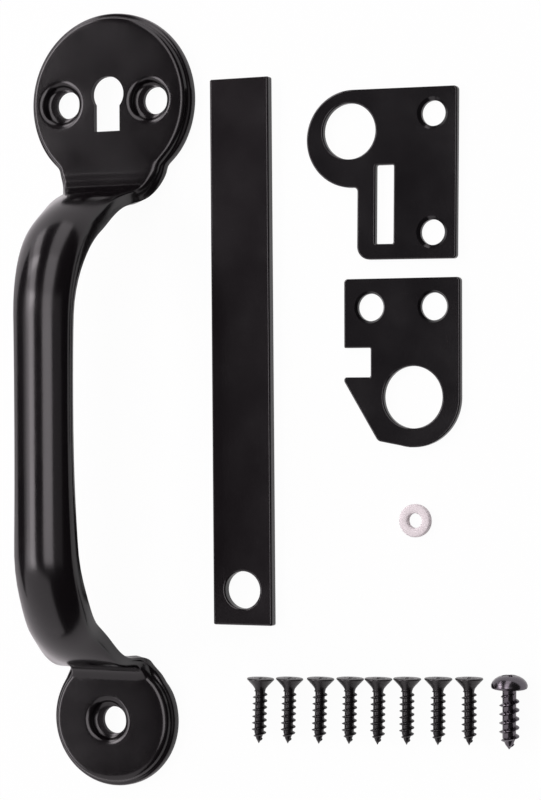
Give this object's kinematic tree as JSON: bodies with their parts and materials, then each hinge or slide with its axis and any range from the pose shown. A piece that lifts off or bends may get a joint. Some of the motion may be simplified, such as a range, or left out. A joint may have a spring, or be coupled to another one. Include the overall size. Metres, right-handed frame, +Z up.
{
  "type": "thumb latch",
  "caption": "Thumb latch set laid out flat: arched pull handle on dished discs, latch bar, guide plate with a lock eye, notched keep plate, bush washer and screws.",
  "frame": {"origin": "middle of the laid-out set's outline, on the floor it lies on", "axes": "+Z up from the floor, +Y along the handle towards its large disc, +X from the handle towards the plates"},
  "size_m": [0.1543, 0.2258, 0.0485],
  "materials": {
    "handle_black": "black satin powder coat over pressed steel",
    "bar_black": "black satin powder coat over flat steel bar",
    "plate_black": "black satin powder coat over stamped steel",
    "screw_black": "black coated steel",
    "white_nylon": "milky white nylon"
  },
  "bodies": {
    "root": {"handle": "handle_black", "latch_bar": "bar_black", "guide_plate": "plate_black", "keep_plate": "plate_black", "nylon_washer": "white_nylon", "wood_screw_1": "screw_black", "wood_screw_2": "screw_black", "wood_screw_3": "screw_black", "wood_screw_4": "screw_black", "wood_screw_5": "screw_black", "wood_screw_6": "screw_black", "wood_screw_7": "screw_black", "wood_screw_8": "screw_black", "pivot_screw": "screw_black"}
  },
  "joints": []
}
